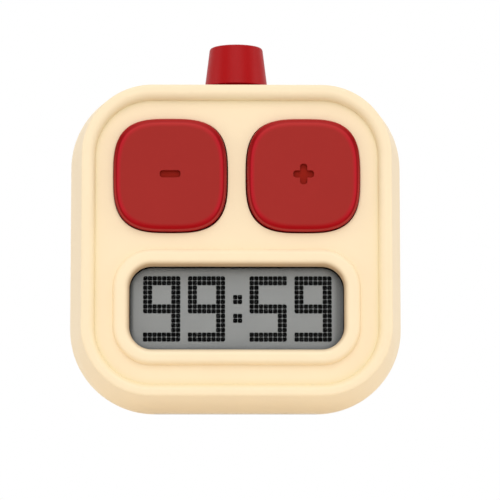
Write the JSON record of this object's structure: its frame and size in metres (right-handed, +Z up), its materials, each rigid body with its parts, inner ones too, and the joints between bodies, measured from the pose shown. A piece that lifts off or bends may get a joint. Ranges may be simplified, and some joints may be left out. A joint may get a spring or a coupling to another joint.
{
  "type": "digital timer",
  "caption": "Small square countdown timer with rounded corners, two square push keys, a digital display in a raised ring and a push button on top.",
  "frame": {"origin": "centre of the box that holds the timer, on the surface that it stands on", "axes": "+X to the right as seen from the front, +Y from the front to the back, +Z up"},
  "size_m": [0.055, 0.0216, 0.06],
  "materials": {
    "cream_shell": "fine satin moulded plastic",
    "red_key": "satin moulded plastic",
    "clear_lens": "clear polished plastic",
    "panel_grey": "grey reflective display glass",
    "white_plastic": "plain moulded plastic",
    "black_plastic": "plain moulded plastic",
    "strip_rubber": "layered conductive rubber",
    "board": "green solder mask on glass fibre",
    "steel": "zinc or nickel plated steel",
    "cell_can": "polished nickel plated can",
    "brass": "plain sheet brass"
  },
  "bodies": {
    "case": {"front_shell": "cream_shell", "rear_cover": "cream_shell", "display_lens": "clear_lens", "lcd_panel": "panel_grey", "lcd_frame": "white_plastic", "zebra_strips": "strip_rubber", "main_board": "board", "board_screws": "steel", "minus_switch": "black_plastic", "plus_switch": "black_plastic", "start_switch": "black_plastic", "controller_blob": "black_plastic", "clock_crystal": "steel", "chip_parts": "black_plastic", "coin_cell": "cell_can", "cell_clip": "brass", "cell_spring": "brass", "buzzer": "black_plastic", "magnets": "steel", "case_screws": "steel"},
    "minus": {"minus_key": "red_key", "minus_plunger": "white_plastic"},
    "plus": {"plus_key": "red_key", "plus_plunger": "white_plastic"},
    "start": {"top_button": "red_key", "start_plunger": "white_plastic"},
    "door": {"battery_door": "cream_shell"}
  },
  "joints": [
    {"name": "minus_key_press", "type": "slide", "parent": "case", "child": "minus", "axis": [0, 1, 0], "range_m": [0, 0.0006], "stiffness_N_per_m": 400},
    {"name": "plus_key_press", "type": "slide", "parent": "case", "child": "plus", "axis": [0, 1, 0], "range_m": [0, 0.0006], "stiffness_N_per_m": 400},
    {"name": "top_button_press", "type": "slide", "parent": "case", "child": "start", "axis": [0, 0, -1], "range_m": [0, 0.0006], "stiffness_N_per_m": 400},
    {"name": "battery_door_turn", "type": "hinge", "parent": "case", "child": "door", "pos_m": [0, 0.01075, 0.0175], "axis": [0, 1, 0], "range_deg": [0, 45]}
  ]
}
